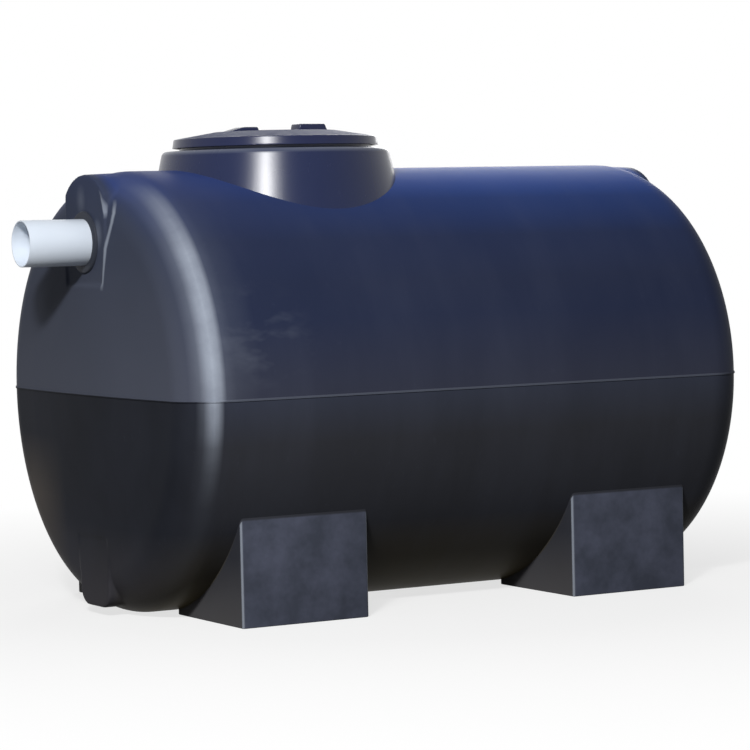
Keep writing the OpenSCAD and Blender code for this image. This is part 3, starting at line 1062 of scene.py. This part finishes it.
def white_world():
    """A plain white surround, dimmed where it only fills the shadows."""
    world = bpy.data.worlds.new("studio")
    bpy.context.scene.world = world
    world.use_nodes = True
    nodes = Nodes(world.node_tree)
    fill, white = (nodes.node("ShaderNodeBackground", None, {"Color": WHITE, "Strength": level})
                   for level in (FILL_LIGHT, 1.0))
    both = nodes.node("ShaderNodeMixShader", None,
                      {0: seen_or_mirrored(nodes), 1: fill, 2: white})
    nodes.fill(nodes.tree.nodes["World Output"].inputs["Surface"], both)


def lamp(name, side, wide, high, level):
    """A lamp that faces the tank. At level 1 a white surface facing it renders white."""
    data = bpy.data.lights.new(name, "AREA")
    data.shape = "RECTANGLE"
    data.size = wide
    data.size_y = high
    data.energy = level * (math.pi * LAMP_DISTANCE) ** 2
    light = bpy.data.objects.new(name, data)
    aim = Vector(side).normalized()
    light.location = TANK_MIDDLE + aim * LAMP_DISTANCE
    light.rotation_euler = aim.to_track_quat("Z", "Y").to_euler()
    bpy.context.collection.objects.link(light)


def studio():
    """A small key lamp in front of a wide low strip, a soft lamp behind, white all round."""
    lamp("key_lamp", KEY_SIDE, 0.5, 0.4, 0.45)
    lamp("strip_lamp", KEY_SIDE, 2.2, 0.4, 0.42)
    lamp("back_lamp", BACK_SIDE, 3.0, 3.0, 0.26)
    white_world()


def camera():
    """A long lens off the front corner, lower than the lid: turned, tipped down and leaned."""
    stand = Vector((-3.8136, -6.5767, 0.9289))
    yaw, pitch, roll = 0.5258, 0.0516, 0.0223
    flat = Vector((math.sin(yaw), math.cos(yaw), 0))
    right = Vector((math.cos(yaw), -math.sin(yaw), 0))
    up = Vector((0, 0, 1))
    ahead = math.cos(pitch) * flat - math.sin(pitch) * up
    over = math.sin(pitch) * flat + math.cos(pitch) * up
    tilted = math.cos(roll) * right - math.sin(roll) * over
    over = math.sin(roll) * right + math.cos(roll) * over
    data = bpy.data.cameras.new("camera")
    data.lens = 146.6
    data.sensor_width = 36
    view = bpy.data.objects.new("camera", data)
    turn = Matrix((tilted, over, -ahead)).transposed().to_4x4()
    view.matrix_world = Matrix.Translation(stand) @ turn
    bpy.context.collection.objects.link(view)
    bpy.context.scene.camera = view


# ---- everything ----------------------------------------------------------------

camera()
studio()
pale_floor()

upper_finish = upper_plastic()
lower_finish = lower_plastic()
neck_finish = neck_plastic()
lid_finish = moulded(Finish("lid_plastic", Specular_IOR_Level=LID_SHINE), LID_BLUE, 0.23, 0.05)
crown_finish = moulded(Finish("crown_plastic", Specular_IOR_Level=DULL), CROWN_BLUE, 0.5, 0.09)
pipe_finish = pipe_plastic()
rubber_finish = rubber()

barrel_top = upper_barrel_skin()
wear_finish(barrel_top, upper_finish)
wear_finish(barrel_top, neck_finish, on_neck)
wear_finish(lower_barrel_skin(), lower_finish)
for side in (-1, 1):
    top_half, low_half = end_skins(side)
    wear_finish(top_half, upper_finish)
    wear_finish(low_half, lower_finish)
    wear_finish(pipe_stub(side), pipe_finish)
    wear_finish(pipe_seal(side), rubber_finish)
wear_finish(mouth_ring(), neck_finish)
cover = lid_cover()
wear_finish(cover, lid_finish)
wear_finish(cover, crown_finish, on_crown)
wear_finish(lid_grip(-1, "lid_grip_inlet", "ramped_grip", RAMP_SLOPE), lid_finish)
wear_finish(lid_grip(1, "lid_grip_outlet", "block_grip", BLOCK_SLOPE), lid_finish)
wear_finish(lid_rubber(), rubber_finish)

bpy.context.scene.view_settings.view_transform = "Standard"
begin()
